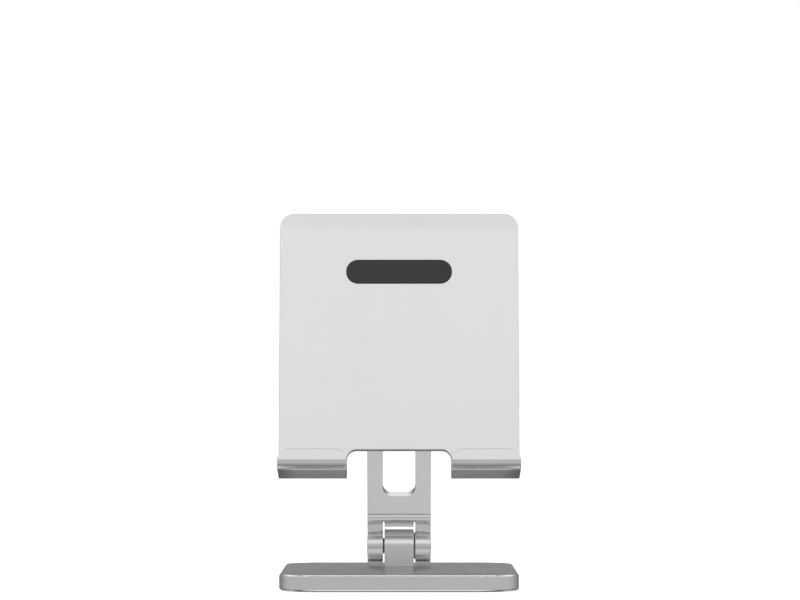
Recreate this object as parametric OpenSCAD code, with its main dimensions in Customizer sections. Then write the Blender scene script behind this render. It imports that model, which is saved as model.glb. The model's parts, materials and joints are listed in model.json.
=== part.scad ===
// Folding desk stand for a phone: a flat base, a short leaning arm between two friction hinges,
// and a bent-sheet cradle with two front hooks. The front is -Y, and Z = 0 is the table.

/* [Base] */
// Width of the base, left to right
base_w = 76; // [70:1:90]
// Depth of the base, front to back
base_d = 96; // [90:1:110]
// Thickness of the base plate
base_t = 5; // [4.5:0.1:5.2]
// Radius of the base's corners
base_corner_r = 12; // [10:1:18]
// Chamfer round the base's top and bottom edges
base_chamfer = 0.45; // [0.2:0.05:0.8]
// How far the mat stands out below the base plate
mat_proud = 0.4; // [0.3:0.1:0.5]
// Width of the bare metal border round the mat
mat_border = 4; // [3:0.5:6]

/* [Hinges] */
// Height of the lower hinge axis above the table
lower_axis_z = 12; // [12:0.1:14]
// Distance of the lower hinge axis behind the middle of the base
lower_axis_y = 22.5; // [18:0.5:26]
// Radius of the hinge knuckles
knuckle_r = 5.5; // [5.3:0.1:5.6]
// Width of the lug that sits between two knuckles
lug_w = 9.7; // [9.2:0.1:10.2]
// Gap between a lug and the knuckle beside it
slit_w = 0.5; // [0.4:0.05:0.6]
// Radius of the hinge pins
pin_r = 2; // [1.8:0.1:2.2]

/* [Arm] */
// Distance between the two hinge axes
arm_l = 60; // [58:1:70]
// Width of the arm
arm_w = 21; // [20:0.5:24]
// Thickness of the arm's flat
arm_t = 4; // [3:0.1:4.5]
// Angle that the arm leans forward
arm_lean = 20; // [14:1:24]
// Thickness of the round shoulder above the lower knuckles
shoulder_t = 6; // [5.4:0.1:6.4]
// Distance of the cable slot's floor from the lower hinge axis
slot_floor = 18.4; // [16:0.2:24]
// Radius of the cable slot's lower corners
slot_corner_r = 3; // [2:0.2:4]

/* [Cradle] */
// Width of the cradle over its hooks
cradle_w = 77.8; // [74:0.2:86]
// Thickness of the cradle's sheet
sheet_t = 2.8; // [2.6:0.1:3]
// Angle that the cradle leans back
cradle_lean = 12; // [8:1:18]
// Length of the back rest above the upper hinge axis
rest_above = 52.4; // [48:0.2:60]
// Length of the back rest below the upper hinge axis, down to the underside of the hooks
rest_below = 36; // [32:0.5:38]
// Distance from the back rest's front face to the front of a hook
hook_reach = 18; // [15:0.5:20]
// Height of a hook's lip from its underside
lip_h = 6.4; // [5.6:0.1:8]
// Width of each hook
hook_w = 22.1; // [18:0.1:26]
// Radius of the back rest's top corners
rest_corner_r = 4.6; // [3:0.2:8]
// Angle that the top edge of the back rest is bent back
top_bend = 6; // [2:1:10]

/* [Pads] */
// Width of the pad on the back rest
back_pad_w = 34.5; // [28:0.5:44]
// Height of the pad on the back rest
back_pad_h = 7.9; // [6:0.1:10]
// Thickness of the pads in the hooks
hook_pad_t = 0.8; // [0.6:0.1:1.2]

/* [Hidden] */

$fn = 64;
cut = 1;                                    // how far a cutting shape runs past what it cuts

base_top = mat_proud + base_t;
mat_recess = 0.8;
mat_t = mat_proud + mat_recess;
mat_gap = 0.1;
lug_foot = lower_axis_z - base_top;         // height of the lower axis above the base

fork_gap = lug_w + 2 * slit_w;              // clear width between the knuckles
bush_r = 3;
press_gap = 0.03;                           // radial room where one piece is pushed into another
run_gap = 0.05;                             // radial room where a pin turns in its bush
pocket_r = 4.4;                             // pocket in a knuckle's end for the pin head, nut and cap
pocket_depth = 2.6;
pocket_x = arm_w / 2 - pocket_depth;        // where the head and the nut bear on the knuckle
head_r = 3.6;
head_t = 1.7;
socket_r = 1.45;                            // hexagon socket, over its corners
socket_depth = 1.1;
nut_corner_r = 3.8;
nut_t = 1.7;
washer_play = 0.05;
washer_t = slit_w - 2 * washer_play;
washer_hole_r = pin_r + 0.1;
shim_r = 2.6;                               // plain shim on the left
disc_spring_r = 4.4;                        // disc spring on the right
cap_t = 0.6;
cap_dome = 0.15;
cap_gap = 0.03;

slit_top = 9.2;                             // the slits beside the lug run on up into the neck
stub_end = 6.55;                            // end of the neck's middle tongue, above the lug
neck_front = 0.6;                           // the neck is set back, and upright in front at the pose shown
neck_back = 4.2;
groove_z = 7.6;                             // crease under the shoulder, where a disc cutter cleared the neck
groove_r = 55;
groove_h = 3;
groove_taper = 4.1;
shoulder_z = 10.5;                          // middle of the round shoulder, where the neck ends
shoulder_r = 2.1;

screw_r = 1.25;
screw_gap = 0.05;
screw_head_r = 2.4;
base_screw_y = 3.1;                         // base screws, before and behind the lower axis
base_screw_head_t = 1.2;
base_screw_into_lug = 2.7;
flange_t = 2.8;
flange_half_h = 13.5;
flange_screw_z = 10;
flange_screw_head_t = 1.5;
flange_screw_into_plate = 2;

rest_back = 6;                              // from the upper axis to the back of the back rest
rest_front = rest_back + sheet_t;
hook_front = rest_front + hook_reach;
shelf_top = -rest_below + sheet_t;
rear_bend_r = 0.4;                          // inside radius where the back rest turns into a hook
lip_bend_r = 0.2;                           // inside radius where a hook turns up into its lip
top_flange = 6.8;                           // height of the bent top edge
lip_corner_r = 3.6;
lip_inner_corner_r = 3;
notch_r = 3;
notch_top = -rest_below + 9.5;
hook_in = cradle_w / 2 - hook_w;            // from the middle to the inner end of a hook

back_pad_z = 32.7;
back_pad_t = 1;
back_pad_recess = 0.5;
pad_gap = 0.1;
hook_pad_inset = 1.8;
hook_pad_rear = rest_front + rear_bend_r + 0.7;
hook_pad_front = hook_front - sheet_t - lip_bend_r - 0.6;
hook_pad_corner_r = 1.5;

upper_axis_y = lower_axis_y - arm_l * sin(arm_lean);
upper_axis_z = lower_axis_z + arm_l * cos(arm_lean);

metal = "silver";
steel = "slategray";
silicone = "dimgray";

// ---- places -------------------------------------------------------------------------------

// At the lower hinge axis, upright
module at_lower() {
    translate([0, lower_axis_y, lower_axis_z]) children();
}

// At the lower hinge axis, with Z along the arm
module on_arm() {
    at_lower() rotate([arm_lean, 0, 0]) children();
}

// At the upper hinge axis, with Z along the arm
module on_arm_top() {
    on_arm() translate([0, 0, arm_l]) children();
}

// At the upper hinge axis, with Z up the back rest and -Y out of its front
module on_cradle() {
    translate([0, upper_axis_y, upper_axis_z]) rotate([-cradle_lean, 0, 0]) children();
}

// ---- shapes -------------------------------------------------------------------------------

// A side outline (Y to the right, Z up) carried across X
module across(w) {
    rotate([90, 0, 90]) linear_extrude(w, center = true) children();
}

// A cylinder along X from x0 to x1
module rod(r, x0, x1) {
    translate([x0, 0, 0]) rotate([0, 90, 0]) cylinder(r = r, h = x1 - x0);
}

// A cylinder along Y from y0 to y1
module peg(r, y0, y1) {
    translate([0, y1, 0]) rotate([90, 0, 0]) cylinder(r = r, h = y1 - y0);
}

// A bar that is w wide, chamfered along both its long edges, top and bottom
module chamfered_bar(w, t, c) {
    polygon([[-w / 2 + c, 0], [w / 2 - c, 0], [w / 2, c], [w / 2, t - c],
        [w / 2 - c, t], [-w / 2 + c, t], [-w / 2, t - c], [-w / 2, c]]);
}

// A round-cornered plate with chamfered edges
module chamfered_plate(w, d, t, r, c) {
    across(w - 2 * r) chamfered_bar(d, t, c);
    rotate([0, 0, 90]) across(d - 2 * r) chamfered_bar(w, t, c);
    for (x = [-1, 1], y = [-1, 1])
        translate([x * (w / 2 - r), y * (d / 2 - r), 0]) {
            translate([0, 0, c]) cylinder(r = r, h = t - 2 * c);
            translate([0, 0, t - c]) cylinder(r1 = r, r2 = r - c, h = c);
            cylinder(r1 = r - c, r2 = r, h = c);
        }
}

// A plain round-cornered slab
module slab(w, d, t, r) {
    translate([-w / 2 + r, -d / 2, 0]) cube([w - 2 * r, d, t]);
    translate([-w / 2, -d / 2 + r, 0]) cube([w, d - 2 * r, t]);
    for (x = [-1, 1], y = [-1, 1])
        translate([x * (w / 2 - r), y * (d / 2 - r), 0]) cylinder(r = r, h = t);
}

// A bar with round ends, lying along X, from y0 to y1
module stadium(w, h, y0, y1) {
    translate([-w / 2 + h / 2, y0, -h / 2]) cube([w - h, y1 - y0, h]);
    for (x = [-1, 1])
        translate([x * (w - h) / 2, 0, 0]) peg(h / 2, y0, y1);
}

// What is cut away to round an upper corner whose point is at the origin, on the +X side
module corner_waste(r, y0, y1) {
    difference() {
        translate([-r, y0, -r]) cube([r + cut, y1 - y0, r + cut]);
        translate([-r, 0, -r]) peg(r, y0 - cut, y1 + cut);
    }
}

// ---- hinge hardware, one set in each hinge, along X ------------------------------------------

module hinge_pin() {
    difference() {
        union() {
            rod(pin_r, -pocket_x, pocket_x + nut_t);
            rod(head_r, -pocket_x - head_t, -pocket_x);
        }
        translate([-pocket_x - head_t - cut, 0, 0]) rotate([0, 90, 0])
            cylinder(r = socket_r, h = socket_depth + cut, $fn = 6);
    }
}

module hinge_nut() {
    difference() {
        translate([pocket_x, 0, 0]) rotate([0, 90, 0])
            cylinder(r = nut_corner_r, h = nut_t, $fn = 6);
        rod(pin_r + press_gap, pocket_x - cut, pocket_x + nut_t + cut);
    }
}

module hinge_bush() {
    difference() {
        rod(bush_r, -lug_w / 2, lug_w / 2);
        rod(pin_r + run_gap, -lug_w / 2 - cut, lug_w / 2 + cut);
    }
}

module hinge_washer(r, side) {
    middle = side * (lug_w + slit_w) / 2;
    difference() {
        rod(r, middle - washer_t / 2, middle + washer_t / 2);
        rod(washer_hole_r, middle - washer_t, middle + washer_t);
    }
}

// The cap's outer face is a shallow dome
module hinge_cap(side) {
    r = pocket_r - cap_gap;
    steps = 8;
    dome = [for (i = [0:steps]) [r * (1 - i / steps), cap_t + cap_dome * (1 - pow(1 - i / steps, 2))]];
    mirror([side > 0 ? 0 : 1, 0, 0]) translate([arm_w / 2 - cap_t, 0, 0]) rotate([0, 90, 0])
        rotate_extrude() polygon(concat([[0, 0], [r, 0]], dome));
}

// ---- base -----------------------------------------------------------------------------------

// The two screws under the lug, from the mat's recess up into the lug
module base_screw_places() {
    for (side = [-1, 1])
        translate([0, lower_axis_y + side * base_screw_y, mat_t]) children();
}

module base_screw(gap) {
    cylinder(r1 = screw_head_r + gap, r2 = screw_r + gap, h = base_screw_head_t);
    cylinder(r = screw_r + gap, h = base_top + base_screw_into_lug - mat_t + gap);
}

module base_plate() {
    color(metal) difference() {
        translate([0, 0, mat_proud])
            chamfered_plate(base_w, base_d, base_t, base_corner_r, base_chamfer);
        translate([0, 0, -cut])
            slab(base_w - 2 * mat_border, base_d - 2 * mat_border, mat_t + cut, base_corner_r - mat_border);
        base_screw_places() base_screw(screw_gap);
    }
}

module base_mat() {
    w = base_w - 2 * (mat_border + mat_gap);
    d = base_d - 2 * (mat_border + mat_gap);
    color(silicone) slab(w, d, mat_t, base_corner_r - mat_border - mat_gap);
}

module base_lug() {
    color(metal) difference() {
        at_lower() across(lug_w) {
            circle(r = knuckle_r);
            translate([-knuckle_r, -lug_foot]) square([2 * knuckle_r, lug_foot]);
        }
        at_lower() rod(bush_r + press_gap, -lug_w, lug_w);
        base_screw_places() base_screw(screw_gap);
    }
}

module base_lug_screws() {
    color(steel) base_screw_places() base_screw(0);
}

// ---- arm ------------------------------------------------------------------------------------

// The flat, the round shoulder and the neck's full section
module arm_side() {
    front = -shoulder_t / 2 + shoulder_r;
    rear = neck_back - shoulder_r;
    translate([-arm_t / 2, 0]) square([arm_t, arm_l]);
    square([neck_back, shoulder_z]);
    translate([front, shoulder_z - shoulder_r]) square([rear - front, 2 * shoulder_r]);
    for (y = [front, rear])
        translate([y, shoulder_z]) circle(r = shoulder_r);
}

// The slot for the cable runs up between the upper knuckles and is open at the top
module cable_slot() {
    depth = 4 * knuckle_r;
    floor_w = fork_gap - 2 * slot_corner_r;
    translate([-floor_w / 2, -depth / 2, slot_floor]) cube([floor_w, depth, arm_l]);
    translate([-fork_gap / 2, -depth / 2, slot_floor + slot_corner_r]) cube([fork_gap, depth, arm_l]);
    for (side = [-1, 1])
        translate([side * floor_w / 2, 0, slot_floor + slot_corner_r])
            peg(slot_corner_r, -depth / 2, depth / 2);
}

// The lug's space between the lower knuckles, with the slits that run on into the neck
module lug_space() {
    depth = 4 * knuckle_r;
    below = knuckle_r + cut;
    translate([-fork_gap / 2, -depth / 2, -below]) cube([fork_gap, depth, below + stub_end]);
    for (side = [-1, 1])
        translate([side * (lug_w + slit_w) / 2 - slit_w / 2, -depth / 2, -below])
            cube([slit_w, depth, below + slit_top]);
}

// A disc with a tapered upper edge clears the neck from the front
module neck_clearance() {
    translate([0, neck_front - groove_r, 0]) {
        translate([0, 0, -cut])
            cylinder(r1 = groove_r - (groove_z + cut) * tan(arm_lean), r2 = groove_r, h = groove_z + cut);
        translate([0, 0, groove_z]) cylinder(r1 = groove_r, r2 = groove_r - groove_taper, h = groove_h);
    }
}

module arm_blank() {
    difference() {
        across(arm_w) arm_side();
        neck_clearance();
    }
    rod(knuckle_r, -arm_w / 2, arm_w / 2);
    translate([0, 0, arm_l]) rod(knuckle_r, -arm_w / 2, arm_w / 2);
}

module pin_holes() {
    rod(pin_r + press_gap, -arm_w, arm_w);
    rod(pocket_r, pocket_x, arm_w);
    rod(pocket_r, -arm_w, -pocket_x);
}

module arm() {
    color(metal) on_arm() difference() {
        arm_blank();
        cable_slot();
        lug_space();
        pin_holes();
        translate([0, 0, arm_l]) pin_holes();
    }
}

// ---- cradle ---------------------------------------------------------------------------------

// Side outline of the bent sheet: the back rest, the bend, the hook's shelf and its lip
module cradle_side() {
    rear_r = rear_bend_r + sheet_t;
    front_r = lip_bend_r + sheet_t;
    bend_z = rest_above - top_flange;
    lean_out = top_flange * tan(top_bend);
    translate([-rest_front, -rest_below + rear_r]) square([sheet_t, bend_z + rest_below - rear_r]);
    polygon([[-rest_front, bend_z], [-rest_back, bend_z],
        [-rest_back + lean_out, rest_above], [-rest_front + lean_out, rest_above]]);
    translate([-rest_back - rear_r, -rest_below + rear_r]) intersection() {
        difference() {
            circle(r = rear_r);
            circle(r = rear_bend_r);
        }
        translate([0, -rear_r]) square(rear_r);
    }
    translate([-hook_front + front_r, -rest_below])
        square([hook_front - front_r - rest_back - rear_r, sheet_t]);
    translate([-hook_front + front_r, -rest_below + front_r]) intersection() {
        difference() {
            circle(r = front_r);
            circle(r = lip_bend_r);
        }
        translate([-front_r, -front_r]) square(front_r);
    }
    translate([-hook_front, -rest_below + front_r]) square([sheet_t, lip_h - front_r]);
}

// The space between the hooks, with round corners in the back rest
module hook_notch() {
    y0 = -hook_front - cut;
    y1 = -rest_back + cut;
    flat_w = 2 * (hook_in - notch_r);
    translate([-flat_w / 2, y0, -rest_below - cut]) cube([flat_w, y1 - y0, notch_top + rest_below + cut]);
    translate([-hook_in, y0, -rest_below - cut])
        cube([2 * hook_in, y1 - y0, notch_top - notch_r + rest_below + cut]);
    for (side = [-1, 1])
        translate([side * flat_w / 2, 0, notch_top - notch_r]) peg(notch_r, y0, y1);
}

module cradle_plate() {
    lip_top = -rest_below + lip_h;
    lip_rear = -hook_front + sheet_t + cut / 2;
    color(metal) on_cradle() difference() {
        across(cradle_w) cradle_side();
        hook_notch();
        for (side = [0, 1]) mirror([side, 0, 0]) {
            translate([cradle_w / 2, 0, rest_above]) corner_waste(rest_corner_r, -rest_front - cut, 0);
            translate([cradle_w / 2, 0, lip_top]) corner_waste(lip_corner_r, -hook_front - cut, lip_rear);
            translate([hook_in, 0, lip_top]) mirror([1, 0, 0])
                corner_waste(lip_inner_corner_r, -hook_front - cut, lip_rear);
        }
        translate([0, 0, back_pad_z])
            stadium(back_pad_w + 2 * pad_gap, back_pad_h + 2 * pad_gap,
                -rest_front - cut, -rest_front + back_pad_recess);
        flange_screw_places()
            peg(screw_r + screw_gap, -rest_back - flange_screw_into_plate - screw_gap, -rest_back + cut);
    }
}

module flange_screw_places() {
    for (side = [-1, 1])
        translate([0, 0, side * flange_screw_z]) children();
}

// The lug that carries the cradle, with a flange for its two screws
module cradle_lug() {
    color(metal) on_cradle() difference() {
        across(lug_w) {
            circle(r = knuckle_r);
            translate([-rest_back, -knuckle_r]) square([rest_back, 2 * knuckle_r]);
            translate([-rest_back, -flange_half_h]) square([flange_t, 2 * flange_half_h]);
        }
        rod(bush_r + press_gap, -lug_w, lug_w);
        flange_screw_places() peg(screw_r + screw_gap, -rest_back - cut, -rest_back + flange_t + cut);
    }
}

module cradle_lug_screws() {
    seat = -rest_back + flange_t;
    color(steel) on_cradle() flange_screw_places() difference() {
        union() {
            peg(screw_r, -rest_back - flange_screw_into_plate, seat + screw_gap);
            peg(screw_head_r, seat, seat + flange_screw_head_t);
        }
        translate([0, seat + flange_screw_head_t + cut, 0]) rotate([90, 0, 0])
            cylinder(r = socket_r, h = cut + flange_screw_head_t / 2, $fn = 6);
    }
}

module back_pad() {
    color(silicone) on_cradle() translate([0, 0, back_pad_z])
        stadium(back_pad_w, back_pad_h, -rest_front + back_pad_recess - back_pad_t,
            -rest_front + back_pad_recess);
}

module hook_pad(side) {
    w = hook_w - 2 * hook_pad_inset;
    d = hook_pad_front - hook_pad_rear;
    color(silicone) on_cradle()
        translate([side * (hook_in + hook_w / 2), -(hook_pad_front + hook_pad_rear) / 2, shelf_top])
            slab(w, d, hook_pad_t, hook_pad_corner_r);
}

base_plate();
base_mat();
base_lug();
base_lug_screws();
color(steel) on_arm() hinge_pin();  // lower_pin
color(steel) on_arm() hinge_nut();  // lower_nut
color("gold") at_lower() hinge_bush();  // lower_bush
color(steel) on_arm() hinge_washer(shim_r, -1);  // lower_washer_left
color(steel) on_arm() hinge_washer(disc_spring_r, 1);  // lower_washer_right
color(metal) on_arm() hinge_cap(-1);  // lower_cap_left
color(metal) on_arm() hinge_cap(1);  // lower_cap_right
arm();
color(steel) on_arm_top() hinge_pin();  // upper_pin
color(steel) on_arm_top() hinge_nut();  // upper_nut
color("gold") on_cradle() hinge_bush();  // upper_bush
color(steel) on_arm_top() hinge_washer(shim_r, -1);  // upper_washer_left
color(steel) on_arm_top() hinge_washer(disc_spring_r, 1);  // upper_washer_right
color(metal) on_arm_top() hinge_cap(-1);  // upper_cap_left
color(metal) on_arm_top() hinge_cap(1);  // upper_cap_right
cradle_plate();
cradle_lug();
cradle_lug_screws();
back_pad();
hook_pad(-1);  // hook_pad_left
hook_pad(1);  // hook_pad_right
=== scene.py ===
import json
from math import acos, atan2, cos, pi, radians, sin, sqrt

import bmesh
import bpy
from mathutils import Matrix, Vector


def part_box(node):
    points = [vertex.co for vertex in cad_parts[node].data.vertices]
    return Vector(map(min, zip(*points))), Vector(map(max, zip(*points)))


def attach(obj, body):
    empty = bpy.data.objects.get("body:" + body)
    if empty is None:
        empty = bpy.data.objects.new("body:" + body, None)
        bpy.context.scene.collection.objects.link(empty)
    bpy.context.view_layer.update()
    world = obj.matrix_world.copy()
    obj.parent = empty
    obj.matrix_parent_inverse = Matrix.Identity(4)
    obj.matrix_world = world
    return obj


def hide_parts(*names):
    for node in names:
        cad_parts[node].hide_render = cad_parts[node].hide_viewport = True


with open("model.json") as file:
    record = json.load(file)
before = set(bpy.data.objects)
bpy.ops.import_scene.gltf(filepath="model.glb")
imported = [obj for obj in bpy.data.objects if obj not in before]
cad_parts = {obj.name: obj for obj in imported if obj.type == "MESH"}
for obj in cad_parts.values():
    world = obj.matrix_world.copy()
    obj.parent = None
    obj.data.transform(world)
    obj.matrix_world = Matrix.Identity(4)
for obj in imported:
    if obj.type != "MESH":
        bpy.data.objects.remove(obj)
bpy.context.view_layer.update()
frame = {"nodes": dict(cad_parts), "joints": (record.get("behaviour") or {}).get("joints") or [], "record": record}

# ---- sizes, in metres, taken from the frame where it holds them ---------------------------------
MM = 0.001
same = 1e-7
near = 1e-6
joints = {joint["name"]: joint for joint in frame["joints"]}
lower_axis = Vector(joints["arm_tilt"]["pos_m"])
upper_axis = Vector(joints["cradle_tilt"]["pos_m"])
arm_line = upper_axis - lower_axis
arm_length = arm_line.length
arm_lean = atan2(-arm_line.y, arm_line.z)
rest_normal = [m for m in frame["record"]["mounts"] if m["name"] == "back_pad_face"][0]["axis"]
cradle_lean = -atan2(rest_normal[2], -rest_normal[1])

base_low, base_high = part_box("base_plate")
arm_low, arm_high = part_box("arm")
lug_low, lug_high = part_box("base_lug")
sheet_low, sheet_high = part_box("cradle_plate")

base_corner = 12 * MM
base_cut = 0.45 * MM
mat_border = 4 * MM
mat_recess = 0.8 * MM

knuckle_radius = (lug_high[1] - lug_low[1]) / 2
lug_width = lug_high[0] - lug_low[0]
slit = 0.5 * MM
fork_gap = lug_width + 2 * slit
pin_hole = 2.03 * MM
bush_hole = 3.03 * MM
pocket_radius = 4.4 * MM
pocket_depth = 2.6 * MM

arm_width = arm_high[0] - arm_low[0]
arm_thickness = 4 * MM
shoulder_radius = 2.1 * MM
shoulder_front = -3 * MM + shoulder_radius
shoulder_z = 10.5 * MM
neck_front = 0.6 * MM
neck_back = 4.2 * MM
shoulder_rear = neck_back - shoulder_radius
stub_end = 6.55 * MM
slit_top = 9.2 * MM
slot_floor = 18.4 * MM
slot_corner = 3 * MM
groove_z = 7.6 * MM
groove_radius = 55 * MM
groove_height = 3 * MM
groove_taper = 4.1 * MM

sheet = 2.8 * MM
sheet_play = 0.03 * MM
cradle_width = sheet_high[0] - sheet_low[0]
rest_back = 6 * MM
rest_front = rest_back + sheet
rest_top = 52.4 * MM
hook_bottom = -36 * MM
hook_front = rest_front + 18 * MM
lip_top = hook_bottom + 6.4 * MM
rear_bend = 0.4 * MM + sheet
lip_bend = 0.2 * MM + sheet
top_flange = 6.8 * MM
top_bend = radians(6)
hook_inner = 16.8 * MM
notch_top = hook_bottom + 9.5 * MM
notch_corner = 3 * MM
lip_corner = 3.6 * MM
lip_inner_corner = (4.7 * MM, 2.4 * MM)
rest_corner = 4.6 * MM

pad_width = 34.5 * MM
pad_height = 7.9 * MM
pad_centre = 32.7 * MM
pad_recess = 0.5 * MM
pad_stands_out = 0.5 * MM
pad_play = 0.1 * MM
hook_pad_width = 18.5 * MM
hook_pad_thickness = 0.8 * MM
flange_thickness = 2.8 * MM
flange_half = 13.5 * MM
flange_screw = 10 * MM
flange_screw_hole = 1.3 * MM


# ---- camera -------------------------------------------------------------------------------------
camera_distance = 1.25
camera_height = 63.5 * MM
camera_aside = 0.3 * MM
camera_tilt = 1.3


def make_camera():
    """A long lens in front of the stand, level with its middle and tilted up a little, in degrees."""
    data = bpy.data.cameras.new("studio_camera")
    data.lens = 179
    data.sensor_width = 36
    data.clip_end = 50
    camera = bpy.data.objects.new("studio_camera", data)
    bpy.context.scene.collection.objects.link(camera)
    camera.location = (camera_aside, base_low[1] - camera_distance, camera_height)
    camera.rotation_euler = (radians(90 + camera_tilt), 0, 0)
    bpy.context.scene.camera = camera


make_camera()


# ---- materials ------------------------------------------------------------------------------------
def new_material(name):
    material = bpy.data.materials.new(name)
    material.use_nodes = True
    nodes = material.node_tree.nodes
    return material, nodes, material.node_tree.links, nodes["Principled BSDF"]


def noise(nodes, links, where, scale, detail, rough):
    texture = nodes.new("ShaderNodeTexNoise")
    texture.inputs["Scale"].default_value = scale
    texture.inputs["Detail"].default_value = detail
    texture.inputs["Roughness"].default_value = rough
    links.new(where, texture.inputs["Vector"])
    return texture.outputs["Fac"]


def remap(nodes, links, value, low, high, to_low, to_high):
    spread = nodes.new("ShaderNodeMapRange")
    spread.inputs["From Min"].default_value = low
    spread.inputs["From Max"].default_value = high
    spread.inputs["To Min"].default_value = to_low
    spread.inputs["To Max"].default_value = to_high
    links.new(value, spread.inputs["Value"])
    return spread.outputs["Result"]


def add(nodes, links, a, b):
    total = nodes.new("ShaderNodeMath")
    total.operation = "ADD"
    links.new(a, total.inputs[0])
    links.new(b, total.inputs[1])
    return total.outputs[0]


def bump(nodes, links, height, strength, distance, normal=None):
    node = nodes.new("ShaderNodeBump")
    node.inputs["Strength"].default_value = strength
    node.inputs["Distance"].default_value = distance
    links.new(height, node.inputs["Height"])
    if normal:
        links.new(normal, node.inputs["Normal"])
    return node.outputs["Normal"]


def tint(nodes, links, value, dark, light):
    """From the dark colour to the light one over the middle of a noise's range."""
    ramp = nodes.new("ShaderNodeValToRGB")
    for end, position, colour in ((0, 0.35, dark), (1, 0.65, light)):
        ramp.color_ramp.elements[end].position = position
        ramp.color_ramp.elements[end].color = (*colour, 1)
    links.new(value, ramp.inputs["Fac"])
    return ramp.outputs["Color"]


def metal(name, dark, light, smooth, rough, grain, grain_depth, stretch=(1, 1, 1)):
    """A metal with a fine blasted or turned grain and faint handling marks.

    It is a little duller at grazing angles than bare metal, as an anodised or oiled surface is.
    """
    material, nodes, links, shader = new_material(name)
    shader.inputs["Metallic"].default_value = 1.0
    shader.inputs["Specular Tint"].default_value = (0.6, 0.6, 0.6, 1)
    place = nodes.new("ShaderNodeTexCoord").outputs["Object"]
    mapping = nodes.new("ShaderNodeMapping")
    mapping.inputs["Scale"].default_value = stretch
    links.new(place, mapping.inputs["Vector"])
    fine = noise(nodes, links, mapping.outputs["Vector"], grain, 3, 0.6)
    coarse = noise(nodes, links, mapping.outputs["Vector"], grain / 4, 2, 0.5)
    marks = noise(nodes, links, place, 55, 4, 0.62)
    links.new(tint(nodes, links, marks, dark, light), shader.inputs["Base Color"])
    handled = remap(nodes, links, marks, 0.3, 0.7, smooth, rough)
    speckle = remap(nodes, links, fine, 0.2, 0.8, -0.03, 0.03)
    links.new(add(nodes, links, handled, speckle), shader.inputs["Roughness"])
    first = bump(nodes, links, coarse, 0.12, grain_depth)
    links.new(bump(nodes, links, fine, 0.25, grain_depth, first), shader.inputs["Normal"])
    return material


def silicone(name, dark, light):
    """Matt moulded silicone with a fine spark-eroded texture and a little dust."""
    material, nodes, links, shader = new_material(name)
    place = nodes.new("ShaderNodeTexCoord").outputs["Object"]
    texture = noise(nodes, links, place, 3200, 3, 0.6)
    patches = noise(nodes, links, place, 90, 4, 0.6)
    links.new(tint(nodes, links, patches, dark, light), shader.inputs["Base Color"])
    links.new(remap(nodes, links, patches, 0.3, 0.7, 0.58, 0.72), shader.inputs["Roughness"])
    links.new(bump(nodes, links, texture, 0.5, 0.02 * MM), shader.inputs["Normal"])
    shader.inputs["Specular IOR Level"].default_value = 0.35
    return material


def acetal(name, dark, light):
    """Natural acetal: a milky, matt plastic with faint flow marks."""
    material, nodes, links, shader = new_material(name)
    place = nodes.new("ShaderNodeTexCoord").outputs["Object"]
    patches = noise(nodes, links, place, 400, 3, 0.5)
    links.new(tint(nodes, links, patches, dark, light), shader.inputs["Base Color"])
    links.new(remap(nodes, links, patches, 0.3, 0.7, 0.38, 0.5), shader.inputs["Roughness"])
    links.new(bump(nodes, links, patches, 0.2, 0.01 * MM), shader.inputs["Normal"])
    return material


satin_aluminium = metal(
    "satin_aluminium",
    dark=(0.79, 0.795, 0.80),
    light=(0.83, 0.835, 0.84),
    smooth=0.20,
    rough=0.25,
    grain=5200,
    grain_depth=0.004 * MM,
)
cut_edge = metal(
    "bright_cut_edge",
    dark=(0.84, 0.845, 0.85),
    light=(0.88, 0.885, 0.89),
    smooth=0.10,
    rough=0.16,
    grain=2600,
    grain_depth=0.002 * MM,
)
bright_steel = metal(
    "bright_steel",
    dark=(0.52, 0.53, 0.55),
    light=(0.60, 0.61, 0.63),
    smooth=0.22,
    rough=0.34,
    grain=3000,
    grain_depth=0.004 * MM,
    stretch=(1, 6, 6),
)
spring_steel = metal(
    "dark_spring_steel",
    dark=(0.16, 0.16, 0.165),
    light=(0.22, 0.22, 0.225),
    smooth=0.28,
    rough=0.4,
    grain=3000,
    grain_depth=0.004 * MM,
)
pad_silicone = silicone("grey_silicone", dark=(0.036, 0.037, 0.040), light=(0.043, 0.044, 0.047))
bush_acetal = acetal("natural_acetal", dark=(0.70, 0.69, 0.64), light=(0.78, 0.77, 0.72))


# ---- modelling tools ------------------------------------------------------------------------------
def only(piece):
    bpy.ops.object.select_all(action="DESELECT")
    piece.select_set(True)
    bpy.context.view_layer.objects.active = piece


def settle(piece):
    """Its place, turn and scale go into its mesh."""
    only(piece)
    bpy.ops.object.transform_apply(location=True, rotation=True, scale=True)
    return piece


def rename(piece, name):
    piece.name = piece.data.name = name
    return piece


def block(name, low, high):
    """A rectangular block from its lowest to its highest corner."""
    bpy.ops.object.select_all(action="DESELECT")
    bpy.ops.mesh.primitive_cube_add(size=1)
    piece = rename(bpy.context.active_object, name)
    piece.location = [(a + b) / 2 for a, b in zip(low, high)]
    piece.scale = [b - a for a, b in zip(low, high)]
    return settle(piece)


def rod(name, radius, start, end, along="X", centre=(0, 0, 0), sides=96):
    """A round bar along one axis."""
    bpy.ops.object.select_all(action="DESELECT")
    bpy.ops.mesh.primitive_cylinder_add(vertices=sides, radius=radius, depth=end - start)
    piece = rename(bpy.context.active_object, name)
    middle = (start + end) / 2
    piece.rotation_euler = {"X": (0, pi / 2, 0), "Y": (-pi / 2, 0, 0), "Z": (0, 0, 0)}[along]
    offset = {"X": (middle, 0, 0), "Y": (0, middle, 0), "Z": (0, 0, middle)}[along]
    piece.location = [a + b for a, b in zip(offset, centre)]
    return settle(piece)


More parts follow.
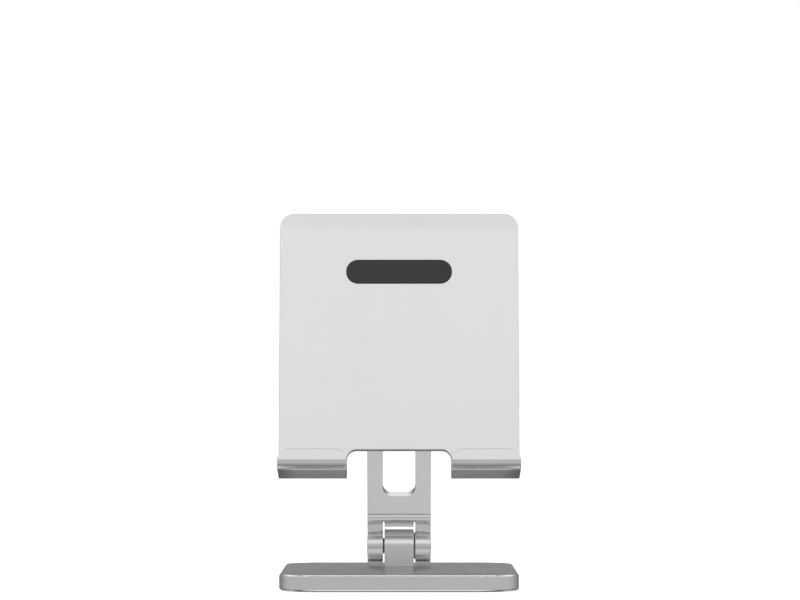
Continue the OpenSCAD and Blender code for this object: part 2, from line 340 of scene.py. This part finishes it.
def pick_edges(piece, wanted):
    """Enters edit mode with only the wanted edges selected."""
    only(piece)
    bpy.ops.object.mode_set(mode="EDIT")
    bpy.ops.mesh.select_mode(type="EDGE")
    bpy.ops.mesh.select_all(action="DESELECT")
    mesh = bmesh.from_edit_mesh(piece.data)
    for edge in mesh.edges:
        edge.select = wanted(edge.verts[0].co, edge.verts[1].co)
    mesh.select_flush_mode()
    bmesh.update_edit_mesh(piece.data)


def pick_faces(piece, wanted):
    """Enters edit mode with only the wanted faces selected."""
    only(piece)
    bpy.ops.object.mode_set(mode="EDIT")
    bpy.ops.mesh.select_mode(type="FACE")
    bpy.ops.mesh.select_all(action="DESELECT")
    mesh = bmesh.from_edit_mesh(piece.data)
    for face in mesh.faces:
        face.select = wanted(face.normal, face.calc_center_median())
    mesh.select_flush_mode()
    bmesh.update_edit_mesh(piece.data)


def leave_edit():
    bpy.ops.object.mode_set(mode="OBJECT")


def round_edges(piece, wanted, radius, steps):
    pick_edges(piece, wanted)
    bpy.ops.mesh.bevel(offset=radius, segments=steps, affect="EDGES")
    leave_edit()
    return piece


def runs_along(axis):
    """Edges that run along one axis: 0 for X, 1 for Y, 2 for Z."""
    others = [i for i in range(3) if i != axis]
    return lambda a, b: all(abs(a[i] - b[i]) < same for i in others) and abs(a[axis] - b[axis]) > same


def combine(piece, operation, *others):
    for other in others:
        only(piece)
        joining = piece.modifiers.new(operation, "BOOLEAN")
        joining.operation = operation
        joining.solver = "EXACT"
        joining.object = other
        bpy.ops.object.modifier_apply(modifier=joining.name)
        bpy.data.objects.remove(other)
    return piece


def carve(piece, *cutters):
    """Each cutter is taken out of the piece."""
    return combine(piece, "DIFFERENCE", *cutters)


def weld(piece, *others):
    """Each of the others is joined to the piece as one solid."""
    return combine(piece, "UNION", *others)


def clean(piece):
    """Joins what the cuts left almost touching and clears the edges inside flat faces."""
    only(piece)
    bpy.ops.object.mode_set(mode="EDIT")
    bpy.ops.mesh.select_all(action="SELECT")
    bpy.ops.mesh.remove_doubles(threshold=0.01 * MM)
    bpy.ops.mesh.select_all(action="SELECT")
    bpy.ops.mesh.dissolve_limited(angle_limit=radians(0.4))
    leave_edit()


def soften(piece, width, steps=3, angle=32):
    """Rounds every sharp edge, in the bright-cut finish, the piece's second material."""
    only(piece)
    rounding = piece.modifiers.new("rounding", "BEVEL")
    rounding.width = width
    rounding.segments = steps
    rounding.limit_method = "ANGLE"
    rounding.angle_limit = radians(angle)
    rounding.use_clamp_overlap = False
    rounding.miter_outer = "MITER_ARC"
    if len(piece.data.materials) > 1:
        rounding.material = 1
    bpy.ops.object.modifier_apply(modifier=rounding.name)
    return piece


def shade(piece, angle=38):
    only(piece)
    bpy.ops.object.shade_smooth_by_angle(angle=radians(angle))
    weighting = piece.modifiers.new("weighting", "WEIGHTED_NORMAL")
    weighting.keep_sharp = True
    weighting.weight = 80
    bpy.ops.object.modifier_apply(modifier=weighting.name)
    return piece


def paint(piece, *materials):
    for material in materials:
        piece.data.materials.append(material)
    return piece


def place(piece, origin, lean=0.0):
    """Moves a piece from its own axes to where it stands."""
    piece.rotation_euler = (lean, 0, 0)
    piece.location = origin
    return settle(piece)


def stand_for(piece, body, slot, *nodes):
    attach(piece, body)
    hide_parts(*nodes)


# A side outline is drawn as a line along X that is pulled and spun through Y and Z
def start_outline(name, width, y, z):
    bpy.ops.object.select_all(action="DESELECT")
    bpy.ops.mesh.primitive_plane_add(size=width)
    piece = rename(bpy.context.active_object, name)
    bpy.ops.object.mode_set(mode="EDIT")
    bpy.ops.mesh.select_mode(type="VERT")
    bpy.ops.mesh.select_all(action="DESELECT")
    mesh = bmesh.from_edit_mesh(piece.data)
    for corner in mesh.verts:
        corner.select = corner.co.y > 0
    mesh.select_flush_mode()
    bmesh.update_edit_mesh(piece.data)
    bpy.ops.mesh.delete(type="VERT")
    bpy.ops.mesh.select_all(action="SELECT")
    bpy.ops.transform.translate(value=(0, y + width / 2, z))
    return piece


def pen(piece):
    mesh = bmesh.from_edit_mesh(piece.data)
    ends = [v.co for v in mesh.verts if v.select]
    return sum(ends, Vector()) / len(ends)


def line_to(piece, y, z):
    now = pen(piece)
    bpy.ops.mesh.extrude_region_move(TRANSFORM_OT_translate={"value": (0, y - now.y, z - now.z)})


def arc_by(piece, y, z, turn, steps):
    """Swings the line about the point y, z; a positive turn goes from +Y towards +Z."""
    bpy.ops.mesh.spin(steps=steps, angle=-turn, center=(0, y, z), axis=(1, 0, 0))


def close_outline(piece):
    bpy.ops.mesh.select_all(action="SELECT")
    bpy.ops.mesh.remove_doubles(threshold=near)
    bpy.ops.mesh.select_all(action="SELECT")
    bpy.ops.mesh.fill_holes(sides=0)
    bpy.ops.mesh.select_all(action="SELECT")
    bpy.ops.mesh.normals_make_consistent(inside=False)
    leave_edit()
    return piece


# ---- base -----------------------------------------------------------------------------------------
def make_base_plate():
    """A plate with round corners, a cut chamfer round both faces and a recess below for the mat."""
    piece = block("base_plate_milled", base_low, base_high)
    round_edges(piece, runs_along(2), base_corner, 24)
    pick_faces(piece, lambda normal, middle: normal.z < -0.9)
    bpy.ops.mesh.inset(thickness=mat_border)
    bpy.ops.mesh.extrude_region_move(TRANSFORM_OT_translate={"value": (0, 0, mat_recess)})
    leave_edit()
    paint(piece, satin_aluminium, cut_edge)

    def rim(a, b):
        level = abs(a.z - b.z) < same and (a.z > base_high[2] - near or a.z < base_low[2] + near)
        outer = max(abs(a.x), abs(b.x)) > base_high[0] - base_corner / 2
        outer = outer or max(abs(a.y), abs(b.y)) > base_high[1] - base_corner / 2
        edge_on = abs(abs(a.x) - base_high[0]) < near or abs(abs(a.y) - base_high[1]) < near
        corner = Vector((abs(a.x) - base_high[0] + base_corner, abs(a.y) - base_high[1] + base_corner))
        round_on = corner.x > -near and corner.y > -near and abs(corner.length - base_corner) < 0.02 * MM
        return level and outer and (edge_on or round_on)

    pick_edges(piece, rim)
    bpy.ops.mesh.bevel(offset=base_cut, segments=1, affect="EDGES", material=1)
    leave_edit()
    soften(piece, 0.07 * MM, 2, 30)
    shade(piece, 30)
    stand_for(piece, "base", "satin_aluminium", "base_plate")


def make_base_mat():
    low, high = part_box("base_mat")
    piece = block("base_mat_moulded", low, high)
    round_edges(piece, runs_along(2), base_corner - mat_border, 16)
    paint(piece, pad_silicone)
    soften(piece, 0.15 * MM, 2, 40)
    shade(piece)
    stand_for(piece, "base", "grey_silicone", "base_mat")


def make_base_lug():
    """The block between the lower knuckles, round on top."""
    foot = base_high[2] - lower_axis.z
    piece = start_outline("base_lug_block", lug_width, -knuckle_radius, foot)
    line_to(piece, -knuckle_radius, 0)
    arc_by(piece, 0, 0, -pi, 48)
    line_to(piece, knuckle_radius, foot)
    line_to(piece, -knuckle_radius, foot)
    close_outline(piece)
    carve(piece, rod("bush_cutter", bush_hole, -lug_width, lug_width))
    paint(piece, satin_aluminium, cut_edge)
    soften(piece, 0.2 * MM, 2)
    shade(piece)
    place(piece, lower_axis)
    stand_for(piece, "base", "satin_aluminium", "base_lug")


# ---- arm ------------------------------------------------------------------------------------------
def fillet_rise(apart, radius, fillet):
    """How far above a round's middle its fillet's middle is, when the two are this far apart in Y."""
    return sqrt((radius + fillet) ** 2 - apart ** 2)


def make_arm_prism():
    """The arm's side outline, carried across its width: neck, shoulder, flat and upper knuckle."""
    flat = arm_thickness / 2
    shoulder_fillet = 0.5 * MM
    knuckle_fillet = 1.2 * MM
    y_low = flat + shoulder_fillet
    y_top = flat + knuckle_fillet
    z_top = fillet_rise(y_top, knuckle_radius, knuckle_fillet)
    top_angle = atan2(z_top, y_top)
    z_front = fillet_rise(y_low + shoulder_front, shoulder_radius, shoulder_fillet)
    front_angle = atan2(z_front, y_low + shoulder_front)
    z_rear = fillet_rise(y_low - shoulder_rear, shoulder_radius, shoulder_fillet)
    rear_angle = atan2(z_rear, y_low - shoulder_rear)
    under_angle = acos((flat + shoulder_front) / shoulder_radius)
    hidden_end = 1 * MM

    piece = start_outline("arm_milled", arm_width, flat, shoulder_z + z_rear)
    line_to(piece, flat, arm_length - z_top)
    arc_by(piece, y_top, arm_length - z_top, -top_angle, 8)
    arc_by(piece, 0, arm_length, pi + 2 * top_angle, 72)
    arc_by(piece, -y_top, arm_length - z_top, -top_angle, 8)
    line_to(piece, -flat, shoulder_z + z_front)
    arc_by(piece, -y_low, shoulder_z + z_front, -front_angle, 6)
    arc_by(piece, shoulder_front, shoulder_z, front_angle + under_angle, 24)
    line_to(piece, -flat, hidden_end)
    line_to(piece, neck_back, hidden_end)
    line_to(piece, neck_back, shoulder_z)
    arc_by(piece, shoulder_rear, shoulder_z, rear_angle, 16)
    arc_by(piece, y_low, shoulder_z + z_rear, -rear_angle, 8)
    return close_outline(piece)


def neck_cutter():
    """A disc with a tapered upper edge, which clears the neck from the front."""
    disc = rod("neck_cutter", groove_radius, 0, groove_z, "Z", sides=512)
    pick_faces(disc, lambda normal, middle: normal.z > 0.9)
    bpy.ops.mesh.extrude_region_move(TRANSFORM_OT_translate={"value": (0, 0, groove_height)})
    narrow = 1 - groove_taper / groove_radius
    bpy.ops.transform.resize(value=(narrow, narrow, 1))
    leave_edit()
    pick_faces(disc, lambda normal, middle: normal.z < -0.9)
    narrow = 1 - groove_z * sin(arm_lean) / cos(arm_lean) / groove_radius
    bpy.ops.transform.resize(value=(narrow, narrow, 1))
    leave_edit()
    disc.location = (0, neck_front - groove_radius, 0)
    return settle(disc)


def make_arm():
    """One milled piece: two knuckles at each end, with a slot above and room for the lug below."""
    piece = make_arm_prism()
    reach = 12 * MM
    half_gap = fork_gap / 2
    slot = block("slot_cutter", (-half_gap, -reach, slot_floor), (half_gap, reach, arm_length + reach))
    round_edges(slot, lambda a, b: runs_along(1)(a, b) and a.z < slot_floor + near, slot_corner, 14)
    space = block("lug_cutter", (-half_gap, -reach, -reach), (half_gap, reach, slit_top))
    tongue = block("tongue", (-lug_width / 2, -2 * reach, stub_end), (lug_width / 2, 2 * reach, reach))
    carve(space, tongue)
    carve(piece, neck_cutter())
    weld(piece, rod("lower_knuckles", knuckle_radius, -arm_width / 2, arm_width / 2, sides=128))
    carve(piece, slot, space)
    pocket_x = arm_width / 2 - pocket_depth
    for centre in ((0, 0, 0), (0, 0, arm_length)):
        carve(piece, rod("pin_cutter", pin_hole, -arm_width, arm_width, "X", centre))
        for side in (-1, 1):
            ends = sorted((side * pocket_x, side * arm_width))
            carve(piece, rod("pocket_cutter", pocket_radius, ends[0], ends[1], "X", centre))
    paint(piece, satin_aluminium, cut_edge)
    clean(piece)
    soften(piece, 0.16 * MM, 2, 34)
    shade(piece, 34)
    place(piece, lower_axis, arm_lean)
    stand_for(piece, "arm", "satin_aluminium", "arm")


def make_hinge_cap(name, node, axis, side):
    """A thin disc with a shallow dome on its outer face."""
    radius = pocket_radius - 0.03 * MM
    thickness = 0.6 * MM
    dome = 0.13 * MM
    bpy.ops.object.select_all(action="DESELECT")
    bpy.ops.mesh.primitive_cylinder_add(vertices=96, radius=radius, depth=thickness)
    piece = rename(bpy.context.active_object, name)
    rings = 5
    for ring in range(rings):
        pick_faces(piece, lambda normal, middle: normal.z > 0.9 and middle.xy.length < 0.01 * MM)
        inner = 1 - (ring + 1) / (rings + 1)
        outer = 1 - ring / (rings + 1)
        bpy.ops.mesh.inset(thickness=radius * (outer - inner))
        bpy.ops.transform.translate(value=(0, 0, dome * (outer ** 2 - inner ** 2)))
        leave_edit()
    paint(piece, satin_aluminium, cut_edge)

    def outer_rim(a, b):
        return abs(a.z - b.z) < same and a.z > 0 and min(a.xy.length, b.xy.length) > radius * 0.98

    round_edges(piece, outer_rim, 0.12 * MM, 3)
    shade(piece, 50)
    piece.rotation_euler = (0, side * pi / 2, 0)
    piece.location = (side * (arm_width / 2 - thickness / 2), axis.y, axis.z)
    settle(piece)
    stand_for(piece, "arm", "satin_aluminium", node)


# ---- cradle ---------------------------------------------------------------------------------------
def corner_cutter(x, side, z, wide, high, y_low, y_high):
    """What is cut away to round a corner at x, z whose metal lies towards -side."""
    overrun = 20 * MM
    x_low, x_high = sorted((x - side * wide, x + side * wide))
    waste = block("corner_waste", (x_low, y_low, z - high), (x_high, y_high, z + high))
    keep = rod("corner_round", high, y_low * 2, y_high + overrun, "Y", sides=96)
    keep.scale.x = wide / high
    keep.location = (x - side * wide, 0, z - high)
    return carve(waste, settle(keep))


def make_cradle_sheet():
    """One sheet, bent back at its top edge and forward twice into the hooks."""
    # The back face is drawn; its top edge is this much lower than the front face's
    flange = top_flange - sheet * sin(top_bend)
    lean_out = flange * sin(top_bend) / cos(top_bend)
    top_z = rest_top - top_flange + flange
    piece = start_outline("cradle_sheet", cradle_width - sheet_play, -rest_back + lean_out, top_z)
    line_to(piece, -rest_back, rest_top - top_flange)
    line_to(piece, -rest_back, hook_bottom + rear_bend)
    arc_by(piece, -rest_back - rear_bend, hook_bottom + rear_bend, -pi / 2, 16)
    line_to(piece, -hook_front + lip_bend, hook_bottom)
    arc_by(piece, -hook_front + lip_bend, hook_bottom + lip_bend, -pi / 2, 16)
    line_to(piece, -hook_front, lip_top)
    bpy.ops.mesh.select_all(action="SELECT")
    bpy.ops.mesh.remove_doubles(threshold=same)
    bpy.ops.mesh.select_all(action="SELECT")
    bpy.ops.mesh.normals_make_consistent(inside=False)
    leave_edit()
    facing = max(piece.data.polygons, key=lambda face: face.area).normal.y
    thickening = piece.modifiers.new("thickening", "SOLIDIFY")
    thickening.thickness = sheet
    thickening.offset = -1 if facing > 0 else 1
    thickening.use_even_offset = True
    only(piece)
    bpy.ops.object.modifier_apply(modifier=thickening.name)

    def top_corner(a, b):
        return abs(a.x - b.x) < same and min(a.z, b.z) > rest_top - 1 * MM

    round_edges(piece, top_corner, rest_corner, 20)
    reach = 40 * MM
    notch = block("notch_cutter", (-hook_inner, -reach, hook_bottom - reach), (hook_inner, 0, notch_top))
    round_edges(notch, lambda a, b: runs_along(1)(a, b) and a.z > notch_top - near, notch_corner, 14)
    carve(piece, notch)
    lip_rear = -hook_front + lip_bend
    for side in (-1, 1):
        carve(
            piece,
            corner_cutter(side * cradle_width / 2, side, lip_top, lip_corner, lip_corner, -reach, lip_rear),
            corner_cutter(side * hook_inner, -side, lip_top, *lip_inner_corner, -reach, lip_rear),
        )
    clean(piece)
    paint(piece, satin_aluminium, cut_edge)
    soften(piece, 0.3 * MM, 3, 34)
    pocket_width = pad_width + 2 * pad_play
    pocket_height = pad_height + 2 * pad_play
    carve(piece, pill("pocket_cutter", pocket_width, pocket_height, -reach, -rest_front + pad_recess))
    shade(piece, 34)
    place(piece, upper_axis, cradle_lean)
    stand_for(piece, "cradle", "satin_aluminium", "cradle_plate")


def pill(name, width, height, y_low, y_high):
    """A bar with round ends, as wide as the pad, at the pad's height on the back rest."""
    piece = block(
        name,
        (-width / 2, y_low, pad_centre - height / 2),
        (width / 2, y_high, pad_centre + height / 2),
    )
    return round_edges(piece, runs_along(1), height / 2 - 0.002 * MM, 24)


def make_back_pad():
    y_low, y_high = -rest_front - pad_stands_out, -rest_front + pad_recess
    piece = pill("back_pad_strip", pad_width, pad_height, y_low, y_high)
    paint(piece, pad_silicone)
    soften(piece, 0.22 * MM, 3, 50)
    shade(piece)
    place(piece, upper_axis, cradle_lean)
    stand_for(piece, "cradle", "grey_silicone", "back_pad")


def make_hook_pad(name, node, side):
    """A thin pad on the hook's shelf, clear of both bends."""
    shelf = hook_bottom + sheet
    middle = side * (hook_inner + cradle_width / 2) / 2
    y_rear = -(rest_front + 1.7 * MM)
    y_front = -(hook_front - lip_bend - 0.6 * MM)
    low = (middle - hook_pad_width / 2, y_front, shelf)
    high = (middle + hook_pad_width / 2, y_rear, shelf + hook_pad_thickness)
    piece = block(name, low, high)
    round_edges(piece, runs_along(2), 1.5 * MM, 10)
    paint(piece, pad_silicone)
    soften(piece, 0.25 * MM, 3, 50)
    shade(piece)
    place(piece, upper_axis, cradle_lean)
    stand_for(piece, "cradle", "grey_silicone", node)


def make_cradle_lug():
    """The lug with its flange, which lies on the back of the back rest."""
    foot = -rest_back
    step = foot + flange_thickness
    inner = 0.9 * MM
    piece = start_outline("cradle_lug_block", lug_width, foot, -flange_half)
    line_to(piece, step, -flange_half)
    line_to(piece, step, -knuckle_radius - inner)
    arc_by(piece, step + inner, -knuckle_radius - inner, -pi / 2, 6)
    line_to(piece, 0, -knuckle_radius)
    arc_by(piece, 0, 0, pi, 48)
    line_to(piece, step + inner, knuckle_radius)
    arc_by(piece, step + inner, knuckle_radius + inner, -pi / 2, 6)
    line_to(piece, step, flange_half)
    line_to(piece, foot, flange_half)
    line_to(piece, foot, -flange_half)
    close_outline(piece)
    carve(piece, rod("bush_cutter", bush_hole, -lug_width, lug_width))
    for z in (-flange_screw, flange_screw):
        carve(piece, rod("screw_cutter", flange_screw_hole, foot - 5 * MM, 0, "Y", (0, 0, z)))
    paint(piece, satin_aluminium, cut_edge)
    soften(piece, 0.2 * MM, 2, 40)
    shade(piece)
    place(piece, upper_axis, cradle_lean)
    stand_for(piece, "cradle", "satin_aluminium", "cradle_lug")


# ---- the kept hinge hardware ------------------------------------------------------------------------
def finish_hardware():
    """The pins, nuts, screws, washers and bushes keep their own shapes and get their finishes."""
    finishes = {
        "pin": bright_steel,
        "nut": bright_steel,
        "screws": bright_steel,
        "washer": spring_steel,
        "bush": bush_acetal,
    }
    for name, piece in frame["nodes"].items():
        for word, material in finishes.items():
            if word in name:
                piece.data.materials.clear()
                piece.data.materials.append(material)


# ---- studio ---------------------------------------------------------------------------------------
def make_floor():
    bpy.ops.object.select_all(action="DESELECT")
    bpy.ops.mesh.primitive_plane_add(size=30)
    floor = rename(bpy.context.active_object, "studio_floor")
    material, nodes, links, shader = new_material("pale_floor")
    shader.inputs["Base Color"].default_value = (0.82, 0.82, 0.82, 1)
    shader.inputs["Roughness"].default_value = 0.9
    shader.inputs["Specular IOR Level"].default_value = 0
    shader.inputs["Emission Color"].default_value = (1, 1, 1, 1)
    shader.inputs["Emission Strength"].default_value = 0.55
    floor.data.materials.append(material)
    floor.visible_glossy = False
    floor.visible_diffuse = False


def make_world():
    """Soft studio surroundings: bright above the front, a dim band at the horizon, darker below."""
    world = bpy.data.worlds.new("studio")
    bpy.context.scene.world = world
    world.use_nodes = True
    nodes, links = world.node_tree.nodes, world.node_tree.links
    nodes.clear()
    direction = nodes.new("ShaderNodeTexCoord").outputs["Generated"]
    axes = nodes.new("ShaderNodeSeparateXYZ")
    links.new(direction, axes.inputs[0])

    def by_height(stops):
        """A grey for each elevation, in degrees, with soft steps between them."""
        height = nodes.new("ShaderNodeMapRange")
        height.inputs["From Min"].default_value = -1
        height.inputs["From Max"].default_value = 1
        links.new(axes.outputs["Z"], height.inputs["Value"])
        ramp = nodes.new("ShaderNodeValToRGB")
        ramp.color_ramp.interpolation = "EASE"
        bands = ramp.color_ramp.elements
        for elevation, grey in stops:
            at = (sin(radians(elevation)) + 1) / 2
            band = bands[0] if elevation == -90 else bands[-1] if elevation == 90 else bands.new(at)
            band.color = (grey, grey, grey, 1)
        links.new(height.outputs["Result"], ramp.inputs["Fac"])
        return ramp.outputs["Color"]

    front_below = [(-90, 0.90), (-74, 0.60), (-62, 0.16), (-50, 0.33), (-40, 0.41), (-20, 0.56)]
    front_above = [(0, 0.54), (9, 0.47), (26, 0.99), (36, 0.90), (43, 0.82)]
    front_top = [(55, 0.75), (68, 0.20), (90, 0.15)]
    back_below = [(-90, 0.90), (-74, 0.40), (-56, 0.10), (-47, 0.40), (-40, 0.18), (-24, 0.18)]
    back_above = [(0, 0.35), (12, 0.34), (24, 0.46), (34, 0.85), (41, 1.30), (50, 1.10)]
    back_top = [(60, 0.35), (72, 0.15), (90, 0.15)]
    front = by_height(front_below + front_above + front_top)
    back = by_height(back_below + back_above + back_top)
    turn = nodes.new("ShaderNodeMapRange")
    turn.inputs["From Min"].default_value = 0.1
    turn.inputs["From Max"].default_value = 0.8
    turn.interpolation_type = "SMOOTHSTEP"
    links.new(axes.outputs["Y"], turn.inputs["Value"])
    blend = nodes.new("ShaderNodeMix")
    blend.data_type = "RGBA"
    links.new(turn.outputs["Result"], blend.inputs["Factor"])
    links.new(front, blend.inputs["A"])
    links.new(back, blend.inputs["B"])

    studio = nodes.new("ShaderNodeBackground")
    links.new(blend.outputs["Result"], studio.inputs["Color"])
    white = nodes.new("ShaderNodeBackground")
    white.inputs["Color"].default_value = (1, 1, 1, 1)
    seen = nodes.new("ShaderNodeLightPath")
    both = nodes.new("ShaderNodeMixShader")
    links.new(seen.outputs["Is Camera Ray"], both.inputs["Fac"])
    links.new(studio.outputs[0], both.inputs[1])
    links.new(white.outputs[0], both.inputs[2])
    output = nodes.new("ShaderNodeOutputWorld")
    links.new(both.outputs[0], output.inputs["Surface"])


def make_light(name, where, aim, size, power):
    """A soft area light that isn't mirrored in the metal."""
    data = bpy.data.lights.new(name, "AREA")
    data.shape = "RECTANGLE"
    data.size, data.size_y = size
    data.energy = power
    light = bpy.data.objects.new(name, data)
    bpy.context.scene.collection.objects.link(light)
    light.location = where
    light.rotation_euler = (Vector(aim) - Vector(where)).to_track_quat("-Z", "Y").to_euler()
    light.visible_glossy = False
    return light


make_base_plate()
make_base_mat()
make_base_lug()
make_arm()
for level, axis in (("lower", lower_axis), ("upper", upper_axis)):
    for hand, side in (("left", -1), ("right", 1)):
        make_hinge_cap(f"{level}_cap_{hand}_turned", f"{level}_cap_{hand}", axis, side)
make_cradle_sheet()
make_cradle_lug()
make_back_pad()
make_hook_pad("hook_pad_left_moulded", "hook_pad_left", -1)
make_hook_pad("hook_pad_right_moulded", "hook_pad_right", 1)
finish_hardware()
make_floor()
make_world()
make_light("left_softbox", where=(-0.9, -0.9, 1.1), aim=(0, 0, 0.06), size=(0.9, 0.9), power=6)
make_light("top_softbox", where=(0.2, 0.1, 1.6), aim=(0, 0, 0), size=(1.2, 1.2), power=8)
strip = make_light("overhead_strip", where=(0, 0.12, 1.6), aim=(0, 0.12, 0), size=(1.4, 0.5), power=2.6)
strip.visible_glossy = True
bpy.context.scene.view_settings.view_transform = "Standard"
